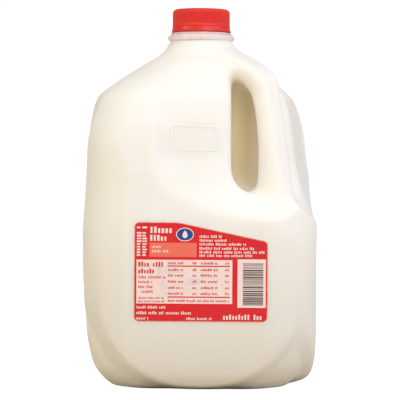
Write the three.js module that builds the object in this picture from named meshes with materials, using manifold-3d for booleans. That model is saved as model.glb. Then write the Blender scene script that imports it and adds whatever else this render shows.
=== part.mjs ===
// A one-gallon milk jug: a thin blow-moulded bottle with a handle in one corner, its milk, cap and label.
// Millimetres, +Z up. The origin is at the middle of the base. The label faces -Y and the handle stands in
// the corner towards +X and -Y. The jug is the same on both sides of the upright plane through that corner.
import * as THREE from "three";
import { mergeVertices } from "three/addons/utils/BufferGeometryUtils.js";
import Module from "manifold-3d";

// Body
const HALF_WIDTH = 75; // from the axis to a flat side
const FLAT_ANGLE = (5 / 28) * Math.PI; // a side is flat this far round from its middle
const CORNER_ARC = 39.4; // radius of the arc that joins two sides
const RING_STEPS = 56; // steps round the body; the flats end on one of them
const MILK_STEPS = 28; // the milk inside is coarser
const ROUND_FROM = 175.4; // height at which the section starts to turn from square to round
const ROUND_TO = 220.6; // height from which the section is round
const DOME_TOP = 226.6; // the body ends here, inside the neck
const FOOT_FLAT = 49.2; // half width of the flat under the tapered foot
const NECK_RADIUS = 20.8;

// Half width against height along the body's profile, from the base to the neck
const FOOT_CURVE = [[FOOT_FLAT, 0], [58.2, 3], [65, 11.8], [69.4, 22.6], [72.6, 34.4], [HALF_WIDTH, 55.2]];
const SIDE_CURVE = [[HALF_WIDTH, 118.2], [74.4, 139.8], [72.6, 169.4], [70, 185.2], [65, 193]];
const DOME_CURVE = [[58.4, 197.8], [40.4, 209.8], [26, 219.2], [NECK_RADIUS, DOME_TOP]];
const SIDE_STEPS = 6;
const DOME_STEPS = 5;

// Wall and fill
const WALL = 0.8;
const GAP = 0.3; // clearance that neighbouring pieces keep
const SAME = 1e-4; // corners this close are the same corner
const WELD = 0.03; // in a cut solid, corners closer than this become one corner
const FILL_HEIGHT = 224; // milk stands at the foot of the neck

// Pads: the front and right sides, which go straight down to a small heel
const PAD_HEEL = 11.8; // radius of the heel
const PAD_HEEL_STEPS = 4;
const PAD_TOP = 63; // height where the pads end inside the body
const PAD_LEAN = 1; // how far their top lies inside the side
const PAD_HALF_LENGTH = 67; // the pads' rounded lower outline is half an ellipse
const PAD_DROP = 62.6; // the half ellipse reaches this far down from its centre
const PAD_CENTRE = 61; // height of its centre
const PAD_OUTLINE_STEPS = 9;
const PAD_BACK = -19.6; // the pads reach this far back towards the axis

// Hand recess
const NOTCH_WALL = 19.6; // distance of both recess walls from the axis
const NOTCH_FILLET = 9.8; // rounding between the two walls
const NOTCH_EDGE = 7.8; // rounding between a wall and its side panel
const NOTCH_ROUND_STEPS = 4;
const NOTCH_FLOOR = 125; // height of the recess floor beside the handle
const PANEL_EDGE = 28.6; // the side panel starts this far to the other side of the middle
const PANEL_STEP = 1.5; // depth of the side panel at that edge
const PANEL_DEPTH = 10.8; // depth of the side panel where it meets the recess wall
const LEDGE_FOOT = 108.4; // height at which the ledge under the recess leaves the side
const LEDGE_FOOT_FAR = 131; // the same height at the far edge of the side panel
const LEDGE_BEND = 12.8; // the ledge turns level this far past the middle
const RAMP_FOOT = 1; // the floor block rises again this far behind the recess wall
const RAMP_RUN = 8;
const BEYOND = 30; // how far cutters stand out past the body

// Handle, as distance from the axis against height in the upright plane through its corner
const HANDLE_OUTER = [[17.8, 223.6], [41.4, 213.2], [57.6, 203.8], [64.6, 193], [70.2, 177.2], [78.4, 140.8],
  [82.4, 118.2], [88.2, 102.4]];
const HANDLE_BURIED = [[83, 81], [43, 87]]; // inside the body, below the recess floor
const HANDLE_INNER = [[51.2, 123.2], [56.8, 135], [58, 155.6], [54.8, 181.2], [49.4, 192], [39.4, 198],
  [15.8, 201]];
const HANDLE_STEPS = 10; // steps along each of its two long edges
const HANDLE_HALF_WIDTH = 9.4;
const HANDLE_ROUNDING = 6;
const HANDLE_ROUND_STEPS = 2;

// Neck
const NECK_TOP = 231.2;
const RING_RADIUS = 21.8; // the bumper ring under the cap
const RING_BOTTOM = 225.6;
const RING_TOP = 229.8;
const RING_CHAMFER = 1;
const FINISH_RADIUS = 17; // the cap pushes on to this part
const FINISH_WALL = 1.8;
const FINISH_TOP = 244.6;
const NECK_STEPS = 40;

// Cap
const CAP_RADIUS = 18.4;
const CAP_TOP = 246.8;
const CAP_CORNER = 2.6; // rounding of the top edge
const CAP_CORNER_STEPS = 4;
const CAP_BAND_TOP = 237; // the ribs stand between here and the top edge
const CAP_BAND_RADIUS = 19.6; // the smooth tear band flares to this at its foot
const CAP_BAND_FOOT = 1.2; // upright height of the band's foot
const CAP_BORE = 17.2;
const CAP_RIBS = 30;
const CAP_RIB_HEIGHT = 0.4; // how far a rib stands out of the groove beside it

// Label
const LABEL_LEFT = -41.2;
const LABEL_RIGHT = 43;
const LABEL_BOTTOM = 44.4;
const LABEL_TOP = 107;
const LABEL_TOP_RIGHT = 95.2; // the top edge slopes down to this height
const LABEL_SLOPE_FROM = -17.8;
const LABEL_CORNER = 3.2;
const LABEL_CORNER_STEPS = 6;
const LABEL_THICKNESS = 0.2;

const wasm = await Module();
wasm.setup();

// A closed solid made from a closed geometry.
function solid(geometry) {
  const bare = geometry.clone();
  bare.deleteAttribute("normal");
  bare.deleteAttribute("uv");
  const merged = mergeVertices(bare, SAME);
  return new wasm.Manifold(
    new wasm.Mesh({
      numProp: 3,
      vertProperties: merged.attributes.position.array,
      triVerts: new Uint32Array(merged.index.array),
    }),
  );
}

// The geometry of a closed solid. Corners closer than the weld are made one, and faces left without area go.
function geometryOf(made) {
  const mesh = made.getMesh();
  const rough = new THREE.BufferGeometry();
  rough.setAttribute("position", new THREE.BufferAttribute(mesh.vertProperties, 3));
  rough.setIndex(new THREE.BufferAttribute(mesh.triVerts, 1));
  const geometry = mergeVertices(rough, WELD);
  const order = geometry.index.array;
  const kept = [];
  for (let i = 0; i < order.length; i += 3) {
    const corners = [order[i], order[i + 1], order[i + 2]];
    if (new Set(corners).size === corners.length) {
      kept.push(...corners);
    }
  }
  geometry.setIndex(kept);
  geometry.computeVertexNormals();
  return geometry;
}

// The other half of the jug: a geometry reflected in the upright plane through the handle corner.
function reflected(geometry) {
  const swap = new THREE.Matrix4().set(0, -1, 0, 0, -1, 0, 0, 0, 0, 0, 1, 0, 0, 0, 0, 1);
  const turned = mergeVertices(geometry.clone().applyMatrix4(swap), SAME);
  const order = turned.index.array;
  for (let i = 0; i < order.length; i += 3) {
    const first = order[i];
    order[i] = order[i + 1];
    order[i + 1] = first;
  }
  return turned;
}

// Distance from the axis to the rounded square outline in one direction, for a square of half width 1.
// A side is a straight line; a corner is an arc that meets it in a slight edge.
function squareReach(angle) {
  const quarter = Math.PI / 2;
  const turned = Math.abs(angle) % quarter;
  const fromSide = Math.min(turned, quarter - turned);
  if (fromSide <= FLAT_ANGLE) {
    return 1 / Math.cos(fromSide);
  }
  const flat = Math.tan(FLAT_ANGLE);
  const radius = CORNER_ARC / HALF_WIDTH;
  const sum = 1 + flat;
  const centre = (sum - Math.sqrt(sum * sum - 2 * (1 + flat * flat - radius * radius))) / 2;
  const along = centre * (Math.cos(fromSide) + Math.sin(fromSide));
  return along + Math.sqrt(along * along - 2 * centre * centre + radius * radius);
}

// A profile moved inwards by the inset, along its own normals. The profile runs upwards on the outside.
function insetProfile(points, inset) {
  return points.map((point, i) => {
    const before = points[Math.max(i - 1, 0)];
    const after = points[Math.min(i + 1, points.length - 1)];
    const along = after.clone().sub(before).normalize();
    return new THREE.Vector2(point.x - inset * along.y, point.y + inset * along.x);
  });
}

// A closed body with the profile's half width at each height, square below and round at the top.
function squaredBody(points, steps) {
  const first = points[0];
  const last = points[points.length - 1];
  const closed = [new THREE.Vector2(0, first.y), ...points, new THREE.Vector2(0, last.y)];
  const body = new THREE.LatheGeometry(closed, steps).rotateX(Math.PI / 2);
  const places = body.attributes.position;
  for (let i = 0; i < places.count; i++) {
    const round = THREE.MathUtils.smoothstep(places.getZ(i), ROUND_FROM, ROUND_TO);
    const reach = squareReach(Math.atan2(places.getY(i), places.getX(i)));
    const scale = THREE.MathUtils.lerp(reach, 1, round);
    places.setXY(i, places.getX(i) * scale, places.getY(i) * scale);
  }
  return body;
}

function vectors(pairs) {
  return pairs.map(([x, y]) => new THREE.Vector2(x, y));
}

function curvePoints(pairs, steps) {
  return new THREE.SplineCurve(vectors(pairs)).getPoints(steps);
}

// Half width against height: a tapered foot, upright sides that lean in a little higher up, and a dome.
function bodyProfile() {
  const foot = curvePoints(FOOT_CURVE, SIDE_STEPS);
  const side = curvePoints(SIDE_CURVE, SIDE_STEPS);
  const dome = curvePoints(DOME_CURVE, DOME_STEPS);
  return [...foot, ...side, ...dome];
}

// Half width against height of the pads: an upright side above a heel.
function padProfile() {
  const heelCentre = HALF_WIDTH - PAD_HEEL;
  const heel = new THREE.EllipseCurve(heelCentre, PAD_HEEL, PAD_HEEL, PAD_HEEL, -Math.PI / 2, 0);
  const upright = vectors([[HALF_WIDTH, PAD_CENTRE - PAD_HEEL], [HALF_WIDTH - PAD_LEAN, PAD_TOP]]);
  return [...heel.getPoints(PAD_HEEL_STEPS), ...upright];
}

// Upright slab over the front side, whose lower outline is half an ellipse.
function padOutline(inset) {
  const outline = new THREE.Shape();
  const reach = PAD_HALF_LENGTH - inset;
  outline.absellipse(0, PAD_CENTRE, reach, PAD_DROP - inset, Math.PI, 2 * Math.PI);
  outline.lineTo(reach, PAD_CENTRE + PAD_HEEL);
  outline.lineTo(-reach, PAD_CENTRE + PAD_HEEL);
  outline.closePath();
  const slab = new THREE.ExtrudeGeometry(outline, {
    depth: HALF_WIDTH + BEYOND + PAD_BACK,
    curveSegments: PAD_OUTLINE_STEPS,
    bevelEnabled: false,
  });
  return slab.rotateX(Math.PI / 2).translate(0, PAD_BACK, 0);
}

// Plan of half of the hand recess, from the far edge of the front panel to the middle of the rounded wall.
function recessHalf(inset) {
  const wall = NOTCH_WALL - inset;
  const fillet = NOTCH_FILLET + inset;
  const edge = NOTCH_EDGE - inset;
  const half = new THREE.Path();
  half.moveTo(-PANEL_EDGE - inset, -HALF_WIDTH - BEYOND);
  half.lineTo(-PANEL_EDGE - inset, -HALF_WIDTH + PANEL_STEP + inset);
  half.lineTo(wall - edge, -HALF_WIDTH + PANEL_DEPTH + inset);
  half.absarc(wall - edge, -HALF_WIDTH + PANEL_DEPTH + inset + edge, edge, -Math.PI / 2, 0);
  half.absarc(wall + fillet, -wall - fillet, fillet, Math.PI, 0.75 * Math.PI, true);
  return half.getPoints(NOTCH_ROUND_STEPS);
}

// Blocks of material left under the front half of the recess: their top is the recess floor, with a ledge that
// slopes down to the front. The ledge's foot is level beside the handle and climbs away from it.
function ledge(inset) {
  const floor = NOTCH_FLOOR - inset;
  const foot = LEDGE_FOOT - inset * Math.SQRT2;
  const climb = (LEDGE_FOOT_FAR - LEDGE_FOOT) / (PANEL_EDGE + LEDGE_BEND);
  const far = HALF_WIDTH + BEYOND;
  const back = RAMP_FOOT - NOTCH_WALL + inset;
  const top = DOME_TOP + BEYOND;
  const side = new THREE.Shape(vectors([
    [-far, foot - BEYOND],
    [-HALF_WIDTH + floor - foot, floor],
    [back, floor],
    [back + RAMP_RUN, top],
    [far, top],
    [far, 0],
    [-far, 0],
  ]));
  const lift = climb * LEDGE_BEND;
  const acrossX = new THREE.Matrix4().set(0, 0, 1, 0, 1, 0, 0, 0, 0, 1, 0, 0, 0, 0, 0, 1);
  const climbing = new THREE.Matrix4().set(1, 0, 0, 0, 0, 1, 0, 0, -climb, 0, 1, lift, 0, 0, 0, 1);
  const level = new THREE.ExtrudeGeometry(side, { depth: 2 * far, bevelEnabled: false });
  level.translate(0, 0, -far).applyMatrix4(acrossX);
  const sloping = level.clone().applyMatrix4(climbing);
  return [level, sloping];
}

// The space taken out of the handle corner: open to the front, to the right and upwards through the dome.
function recess(inset) {
  const half = recessHalf(inset);
  const other = half.map((point) => new THREE.Vector2(-point.y, -point.x)).reverse();
  const far = HALF_WIDTH + BEYOND;
  const plan = new THREE.Shape([...half, ...other.slice(1), new THREE.Vector2(far, -far)]);
  const height = DOME_TOP + BEYOND - LEDGE_FOOT + BEYOND;
  const space = new THREE.ExtrudeGeometry(plan, { depth: height, bevelEnabled: false });
  space.translate(0, 0, LEDGE_FOOT - BEYOND);
  const [level, sloping] = ledge(inset);
  const front = solid(level).add(solid(sloping));
  const right = solid(reflected(level)).add(solid(reflected(sloping)));
  return solid(space).subtract(front.intersect(right));
}

// The handle: its side view, given depth along the other diagonal, with rounded edges.
function handle(inset) {
  const outer = curvePoints(HANDLE_OUTER, HANDLE_STEPS);
  const inner = curvePoints(HANDLE_INNER, HANDLE_STEPS);
  const outline = new THREE.Shape([...outer, ...vectors(HANDLE_BURIED), ...inner]);
  const side = new THREE.ExtrudeGeometry(outline, {
    depth: 2 * (HANDLE_HALF_WIDTH - HANDLE_ROUNDING),
    bevelThickness: HANDLE_ROUNDING - inset,
    bevelSize: HANDLE_ROUNDING - inset,
    bevelOffset: -HANDLE_ROUNDING,
    bevelSegments: HANDLE_ROUND_STEPS,
  });
  side.translate(0, 0, HANDLE_ROUNDING - HANDLE_HALF_WIDTH);
  return side.rotateX(Math.PI / 2).rotateZ(-Math.PI / 4);
}

// The whole jug below the neck as a solid, its surface moved inwards by the inset.
function jugForm(inset, steps) {
  const pads = solid(padOutline(inset)).add(solid(reflected(padOutline(inset))));
  const foot = solid(squaredBody(insetProfile(padProfile(), inset), steps)).intersect(pads);
  const body = solid(squaredBody(insetProfile(bodyProfile(), inset), steps)).add(foot);
  return body.subtract(recess(inset)).add(solid(handle(inset)));
}

// A closed ring or disc from an outline of radius and height pairs.
function turned(pairs, steps) {
  return new THREE.LatheGeometry(vectors(pairs), steps).rotateX(Math.PI / 2);
}

// Neck with its bumper ring, and the straight finish under the cap.
function neckOutside() {
  return turned([
    [0, DOME_TOP - GAP - WALL],
    [NECK_RADIUS - WALL, DOME_TOP - GAP - WALL],
    [RING_RADIUS, RING_BOTTOM + RING_CHAMFER],
    [RING_RADIUS, RING_TOP - RING_CHAMFER],
    [NECK_RADIUS, RING_TOP],
    [NECK_RADIUS, NECK_TOP],
    [FINISH_RADIUS, NECK_TOP],
    [FINISH_RADIUS, FINISH_TOP],
    [0, FINISH_TOP],
  ], NECK_STEPS);
}

function neckInside() {
  return turned([
    [0, FILL_HEIGHT],
    [FINISH_RADIUS - FINISH_WALL, FILL_HEIGHT],
    [FINISH_RADIUS - FINISH_WALL, FINISH_TOP + BEYOND],
    [0, FINISH_TOP + BEYOND],
  ], NECK_STEPS);
}

function bottle() {
  const outside = jugForm(0, RING_STEPS).add(solid(neckOutside()));
  return outside.subtract(jugForm(WALL, RING_STEPS)).subtract(solid(neckInside()));
}

// Milk up to the foot of the neck, in the handle too.
function milk() {
  const lid = turned([
    [0, FILL_HEIGHT],
    [2 * HALF_WIDTH, FILL_HEIGHT],
    [2 * HALF_WIDTH, FILL_HEIGHT + BEYOND],
    [0, FILL_HEIGHT + BEYOND],
  ], RING_STEPS);
  return jugForm(WALL + GAP, MILK_STEPS).subtract(solid(lid));
}

// Push-on cap: flat top with a rounded edge, upright ribs, and a smooth tear band that flares at its foot.
function cap() {
  const foot = NECK_TOP + GAP;
  const shoulderCentre = [CAP_RADIUS - CAP_CORNER, CAP_TOP - CAP_CORNER];
  const shoulder = new THREE.EllipseCurve(...shoulderCentre, CAP_CORNER, CAP_CORNER, 0, Math.PI / 2);
  const shell = turned([
    [CAP_BORE, foot],
    [CAP_BAND_RADIUS, foot],
    [CAP_BAND_RADIUS, foot + CAP_BAND_FOOT],
    [CAP_RADIUS, CAP_BAND_TOP],
    ...shoulder.getPoints(CAP_CORNER_STEPS).map((point) => [point.x, point.y]),
    [0, CAP_TOP],
    [0, FINISH_TOP + GAP],
    [CAP_BORE, FINISH_TOP + GAP],
    [CAP_BORE, foot],
  ], 2 * CAP_RIBS);
  return ribbed(shell);
}

// Pushes every other upright line of the cap's side in, between the tear band and the rounded top edge.
function ribbed(shell) {
  const places = shell.attributes.position;
  for (let i = 0; i < places.count; i++) {
    const radius = Math.hypot(places.getX(i), places.getY(i));
    const line = Math.round((Math.atan2(places.getY(i), places.getX(i)) * CAP_RIBS) / Math.PI);
    const onSide = Math.abs(radius - CAP_RADIUS) < CAP_RIB_HEIGHT / 2;
    if (onSide && line % 2 !== 0) {
      const scale = (CAP_RADIUS - CAP_RIB_HEIGHT) / radius;
      places.setXY(i, places.getX(i) * scale, places.getY(i) * scale);
    }
  }
  return shell;
}

// Flat label on the front side, its top edge sloping down towards the handle.
function label() {
  const outline = new THREE.Shape();
  const inner = LABEL_CORNER;
  const slope = Math.atan2(LABEL_TOP - LABEL_TOP_RIGHT, LABEL_RIGHT - LABEL_SLOPE_FROM);
  const drop = inner * Math.tan(slope);
  outline.absarc(LABEL_LEFT + inner, LABEL_BOTTOM + inner, inner, Math.PI, 1.5 * Math.PI);
  outline.absarc(LABEL_RIGHT - inner, LABEL_BOTTOM + inner, inner, 1.5 * Math.PI, 2 * Math.PI);
  outline.absarc(LABEL_RIGHT - inner, LABEL_TOP_RIGHT - inner + drop, inner, 0, Math.PI / 2 - slope);
  outline.lineTo(LABEL_SLOPE_FROM, LABEL_TOP);
  outline.absarc(LABEL_LEFT + inner, LABEL_TOP - inner, inner, Math.PI / 2, Math.PI);
  outline.closePath();
  const sheet = new THREE.ExtrudeGeometry(outline, {
    depth: LABEL_THICKNESS,
    curveSegments: LABEL_CORNER_STEPS,
    bevelEnabled: false,
  });
  return sheet.rotateX(Math.PI / 2).translate(0, -HALF_WIDTH - GAP, 0);
}

const hdpe = new THREE.MeshStandardMaterial({ color: 0xf8f3ec, roughness: 0.38, metalness: 0 });
const wholeMilk = new THREE.MeshStandardMaterial({ color: 0xfffdf4, roughness: 0.3, metalness: 0 });
const redCap = new THREE.MeshStandardMaterial({ color: 0xe73328, roughness: 0.35, metalness: 0 });
const printedFilm = new THREE.MeshStandardMaterial({ color: 0xe32028, roughness: 0.45, metalness: 0 });

function part(name, geometry, material) {
  const mesh = new THREE.Mesh(geometry, material);
  mesh.name = name;
  return mesh;
}

const jug = new THREE.Group();
jug.add(part("bottle", geometryOf(bottle()), hdpe));
jug.add(part("milk", geometryOf(milk()), wholeMilk));
jug.add(part("cap", cap(), redCap));
jug.add(part("label", label(), printedFilm));

export default jug;
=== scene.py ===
"""A one-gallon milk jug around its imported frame: blow-moulded bottle, milk, cap, printed label and studio."""

import math
from types import SimpleNamespace

import bpy
import numpy as np
from bpy.props import FloatProperty, FloatVectorProperty, IntProperty
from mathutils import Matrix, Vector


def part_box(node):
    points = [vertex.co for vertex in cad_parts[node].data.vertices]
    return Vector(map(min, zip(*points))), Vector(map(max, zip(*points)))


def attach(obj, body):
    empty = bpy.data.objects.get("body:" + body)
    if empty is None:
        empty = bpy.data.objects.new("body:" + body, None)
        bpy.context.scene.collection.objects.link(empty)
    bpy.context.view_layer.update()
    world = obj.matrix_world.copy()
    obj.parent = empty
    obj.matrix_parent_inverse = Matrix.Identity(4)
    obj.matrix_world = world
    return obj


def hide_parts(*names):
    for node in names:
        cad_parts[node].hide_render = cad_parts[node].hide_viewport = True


bl_info = {
    "name": "Gallon milk jug",
    "version": (1, 0, 0),
    "blender": (4, 5, 0),
    "location": "View3D > Sidebar > Milk jug",
    "description": "Bottle, milk, cap and label of a one-gallon milk jug, with a plain studio",
    "category": "Add Mesh",
}

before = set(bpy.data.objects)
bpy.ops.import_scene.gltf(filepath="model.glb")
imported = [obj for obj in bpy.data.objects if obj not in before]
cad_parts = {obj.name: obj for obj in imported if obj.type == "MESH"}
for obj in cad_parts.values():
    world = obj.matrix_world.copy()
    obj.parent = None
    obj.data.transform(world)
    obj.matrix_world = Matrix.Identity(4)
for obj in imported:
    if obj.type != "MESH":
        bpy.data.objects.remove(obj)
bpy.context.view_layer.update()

# Shapes are worked out in millimetres and written in metres.
MM = 0.001
BOTTLE_HIGH = np.array(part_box("bottle")[1]) / MM
CAP_LOW, CAP_HIGH = (np.array(corner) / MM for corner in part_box("cap"))
LABEL_LOW, LABEL_HIGH = (np.array(corner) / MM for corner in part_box("label"))
HALF_WIDTH = BOTTLE_HIGH[0]
FINISH_TOP = BOTTLE_HIGH[2]
MILK_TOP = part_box("milk")[1].z / MM

# Body: half width against height. The square section turns round between two heights.
FLAT_ANGLE = 5 / 28 * math.pi
FLAT_BLEND = 0.025
ROUND_FROM = 148.0
ROUND_TO = 222.0
PROFILE = (
    (47, -3), (49.5, 0), (55, 1.6), (59.2, 4.6), (63.3, 8.9), (66.6, 13.8), (68.7, 19), (70.3, 25.6),
    (71.6, 32), (72.8, 40), (73.5, 49), (74, 60), (74.6, 72), (75, 84), (75, 98), (74.5, 110),
    (73.8, 120), (73.3, 130), (72.9, 140), (72.6, 150), (72.6, 160), (72.2, 169), (71.3, 175),
    (70.2, 181), (68.7, 186), (65.8, 190.6), (58.8, 196), (51.6, 201.3), (42.8, 206.7), (35.6, 211.3),
    (28.8, 215.4), (23.8, 219.6), (21.4, 223.4), (20.2, 225.4), (19.8, 228), (19.8, 233),
)
PAD_PROFILE = (
    (55, -1.5), (61.5, 0.4), (67.4, 3.2), (71.6, 7.8), (73.4, 13), (74.3, 20), (74.8, 27), (75, 36), (75, 46),
)
PROFILE_STEP = 0.5
BODY_TOP = 227.4
BASE_ROUNDING = 2.0
LEAST_ROUNDING = 0.01

# Pads: the front and right sides, which go straight down to a heel inside half an ellipse
PAD_CENTRE = 61.0
PAD_TOP = 90.0
PAD_BACK = -20.0
PAD_RAMP = (-3.4, 2.6)
GROOVE_DEPTH = 2.8
GROOVE_MIDDLE = 3.4
GROOVE_WIDTH = 3.6
GROOVE_HEIGHT = (58.0, 36.0)
GROOVE_BACK = (-28.0, -46.0)
GROOVE_SIDE = (0.0, -40.0)

# The front and right sides lean in above the middle, up to the dome
SIDE_LEAN = 6.0
SIDE_LEAN_RISE = (138.0, 196.0)
SIDE_LEAN_FADE = (198.0, 214.0)

# Hand recess
PANEL_EDGE = -29.6
PANEL_STEP = 2.4
PANEL_SLANT = 0.193
PANEL_LEAN = 0.54
PANEL_RISER = 1.6
PANEL_SOFTNESS = 1.4
PANEL_EDGE_SOFTNESS = 1.0
LEDGE_CLIMB = 24.0
LEDGE_FADE = 22.0
LEDGE_STEEP = 2.4
LEDGE_SHALLOW = 0.85
LEDGE_TURN = (5.0, 50.0)
LEDGE_SOFTNESS = 5.0
NOTCH_FLOOR_FILLET = 20.0
NOTCH_EDGE = 10.0

# Handle in the upright plane of its corner: distance from the axis against height
HANDLE_OUTER = (
    (14, 223.2), (29, 217.6), (40.5, 213.6), (49, 209.9), (55, 206.6), (60.4, 202.4), (64.2, 197.2),
    (66, 191.4), (67.9, 183.6), (70.4, 172.2), (72.6, 161), (74.8, 149.4), (76.6, 140.4), (78.3, 131.6),
    (80.1, 123.2), (82.2, 115.4), (84.2, 107), (84.6, 96),
)
HANDLE_BURIED = ((80, 84), (46, 84))
HANDLE_INNER = (
    (47, 108), (52.5, 121), (56.2, 128.8), (57.8, 138), (58.1, 149), (57.4, 161), (56, 172),
    (53.4, 183.4), (49.6, 191), (44.4, 195.6), (37, 198.2), (27, 200.4), (14, 203),
)
HANDLE_TOP_FLARE = (3.0, 188.0, 208.0)
HANDLE_FOOT_FLARE = (9.0, 122.0, 96.0)
HANDLE_BLEND = 8.0
HANDLE_REACH = 32.0

# Painted shade, and where it fades in over the bottle's colour: heights over which the base turns darker, and
# the warm shade in the gap behind the handle by height, by distance out from the axis towards the handle's
# corner, and by distance to the side of the handle's plane
PAINTED_BASE_SHADE = (8.0, 104.0)
HOLLOW_FOOT = (122.0, 136.0)
HOLLOW_TOP = (207.0, 188.0)
HOLLOW_BACK = (10.0, 20.0)
HOLLOW_FRONT = (60.0, 44.0)
HOLLOW_SIDE = (22.0, 8.0)

# Heights between which the filled bottle's white turns into the colour of the unfilled neck
NECK_FADE = (224.5, 230.0)

# Range that a noise texture mostly stays in
NOISE_RANGE = (0.3, 0.7)

# Neck: how far it reaches down into the body, the cut edge of its shoulder, and its steps round the axis
NECK_SUNK = 4.0
NECK_CHAMFER = 0.5
NECK_STEPS = 128

# Cap: the closed outline's distance from the axis, the roundings of its step and its lip, the gap over the
# neck's top, and the ribs' wave, which fades out over a height above the step and near the top edge
CAP_POLE = 0.02
CAP_STEP_RADIUS = 0.5
CAP_LIP_RADIUS = 0.45
CAP_HEADROOM = 0.3
RIB_SHARPNESS = 0.7
RIB_FADE = 1.2
RIB_TOP_SHARE = 0.6
RIB_TOP_GAP = 0.2
STEPS_PER_RIB = 8

# Rounding of the milk's level, and radius of the bend where the label's top edge starts to slope
MILK_EDGE = 1.0
LABEL_BEND = 40.0

# Raised rectangular line on the front panel, as left, right, bottom and top in the frame's x and z
FRAME_BOX = (-17.8, 12.3, 153.2, 169.1)
FRAME_CORNER = 2.0
FRAME_WIDTH = 1.8
FRAME_HEIGHT = 0.13
FRAME_SINK = 0.06
FRAME_START = -68.0
FRAME_REACH = 6.0
FRAME_STEPS = 96
FRAME_ROWS = 9

# Meshing: points on the profiles and on the handle's outer and inner curves, room left round the box, the
# parts that the lattice is worked out in, the step of a slope, and how points are moved on to the surface
PROFILE_COUNT = 4000
HANDLE_COUNTS = (64, 52)
MARGIN = 2.2
LATTICE_PARTS = 12
SLOPE_STEP = 0.05
LEAST_SLOPE_SQUARED = 0.04
LONGEST_MOVE = 1.5
MOVES = 3
RELAX_ROUNDS = 4

# Print on the label, as left, right, bottom and top in the frame's x and z
TITLE_BLOCKS = (-39.6, -33.2, 85.4, 104.6)
TITLE_GAP = 0.3
TINT_PANEL = (-31.6, -1.9, 85.2, 94.2)
FACTS_PANEL = (-39.7, 20.7, 55.8, 83.4)
BAR_PANEL = (24.0, 41.8, 53.5, 84.0)
BAR_INSETS = (3.4, -1.6, 1.6, -2.2)
BAR_WIDTHS = (0.3, 0.5, 0.8)
BAR_GAPS = (0.4, 0.65)
WHITE_LINES = (
    (-31.6, -17.2, 100.2, 104.2), (-31.6, -20.0, 95.3, 99.0), (-30.2, -24.0, 90.9, 92.3),
    (-30.2, -19.3, 88.0, 89.6), (-0.3, 14.4, 97.4, 99.1), (-0.3, 17.9, 95.0, 96.6),
    (-0.3, 30.2, 92.6, 94.3), (-0.3, 35.8, 89.9, 91.6), (-0.3, 41.1, 87.6, 89.2),
    (-0.3, 33.7, 85.4, 87.0), (-39.7, -20.7, 52.6, 54.3), (-39.7, -4.2, 49.0, 50.8),
    (-39.7, -31.2, 45.6, 47.2), (-8.4, 8.4, 45.6, 47.2), (14.7, 41.1, 45.9, 49.1),
)
RED_LINES = (
    (-38.8, -22.1, 79.0, 82.0), (-38.8, -28.2, 74.8, 77.7), (-38.6, -20.6, 71.6, 73.3),
    (-38.6, -29.1, 68.6, 70.1), (-38.6, -27.7, 65.5, 67.2), (-36.5, -28.1, 62.6, 64.1),
    (-38.6, -21.8, 58.8, 59.9), (-38.6, -21.8, 56.7, 57.7), (-20.0, 19.3, 56.9, 58.3),
)
FACT_COLUMNS = ((-20.0, -9.6), (-4.6, -1.4), (0.7, 12.2), (16.0, 19.2))
FACT_ROWS = (80.6, 76.4, 72.9, 69.0, 65.1, 61.4)
FACT_LINE = 1.5
THICK_RULES = (79.1, 59.6)
THIN_RULES = (75.4, 71.8, 67.9, 64.0)
THICK_RULE = 0.75
THIN_RULE = 0.25
RULE_LEFT, RULE_RIGHT = -20.0, 19.3
GREY_PATCHES = ((-27.0, -20.4, 74.2, 79.0), (-24.2, -20.6, 61.4, 70.4), (-8.4, 0.4, 68.4, 71.4))

# Strokes of fine print, as shares of a line's height, in groups of a few, with some shorter than the rest
STROKE_PITCH = 0.6
STROKE_HALF_WIDTH = (0.15, 0.21)
STROKE_GROUP = (4, 10)
SHORT_SHARE = 0.6
SHORT_HEIGHT = 0.75
PRINT_SEED = 7

# Oval, as its centre, half width and half height, with a white rim, and the drop in it, as shares of its size
OVAL_SHAPE = (-9.3, 99.4, 5.6, 4.3)
OVAL_RIM = 0.55
DROP_SIZE = 2.3
DROP_WIDTH = 0.72
DROP_TAPER = 0.75
DROP_POINT = 1.35
DROP_FOOT = 0.8
DROP_SHIFT = 0.2

# Studio, in metres. A light has a tint, its azimuth off the camera's side and its elevation in degrees, its
# distance, and its width and height
FLOOR_HALF = 6.0
CAMERA_REACH = 30.0
WORLD_TINT = (0.97, 0.98, 1)
BACKDROP = 1.05
LIGHT_AIM = 0.12
LIGHTS = {
    "right": ((0.98, 0.985, 1), (24, 42), 1.0, (0.7, 0.7)),
    "side": ((0.98, 0.98, 1), (74, 22), 1.25, (0.5, 0.9)),
    "left": ((1, 0.86, 0.56), (-62, 24), 1.25, (0.5, 0.9)),
    "top": ((1, 1, 1), (10, 78), 1.1, (0.9, 0.7)),
}


def linear(code):
    """Linear colour of an sRGB hex code."""
    parts = [int(code[i : i + 2], 16) / 255 for i in (0, 2, 4)]
    return [c / 12.92 if c <= 0.04045 else ((c + 0.055) / 1.055) ** 2.4 for c in parts]


def smoothstep(low, high, x):
    """0 at low, 1 at high and an S curve between; high may be the smaller one."""
    t = np.clip((x - low) / (high - low), 0, 1)
    return t * t * (3 - 2 * t)


def smooth_min(a, b, k):
    """The lower of two fields, rounded where they are within k of each other: min - (k - |a - b|)^2 / 4k."""
    near = np.maximum(k - np.abs(a - b), 0)
    return np.minimum(a, b) - near * near / (4 * k)


def smooth_max(a, b, k):
    """The higher of two fields, rounded in the same way."""
    return -smooth_min(-a, -b, k)


def round_max(a, b, radius):
    """The higher of two fields with a round edge: the distance to their corner moved in, less the radius."""
    p, q = a + radius, b + radius
    return np.minimum(np.maximum(p, q), 0) + np.hypot(np.maximum(p, 0), np.maximum(q, 0)) - radius


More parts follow.
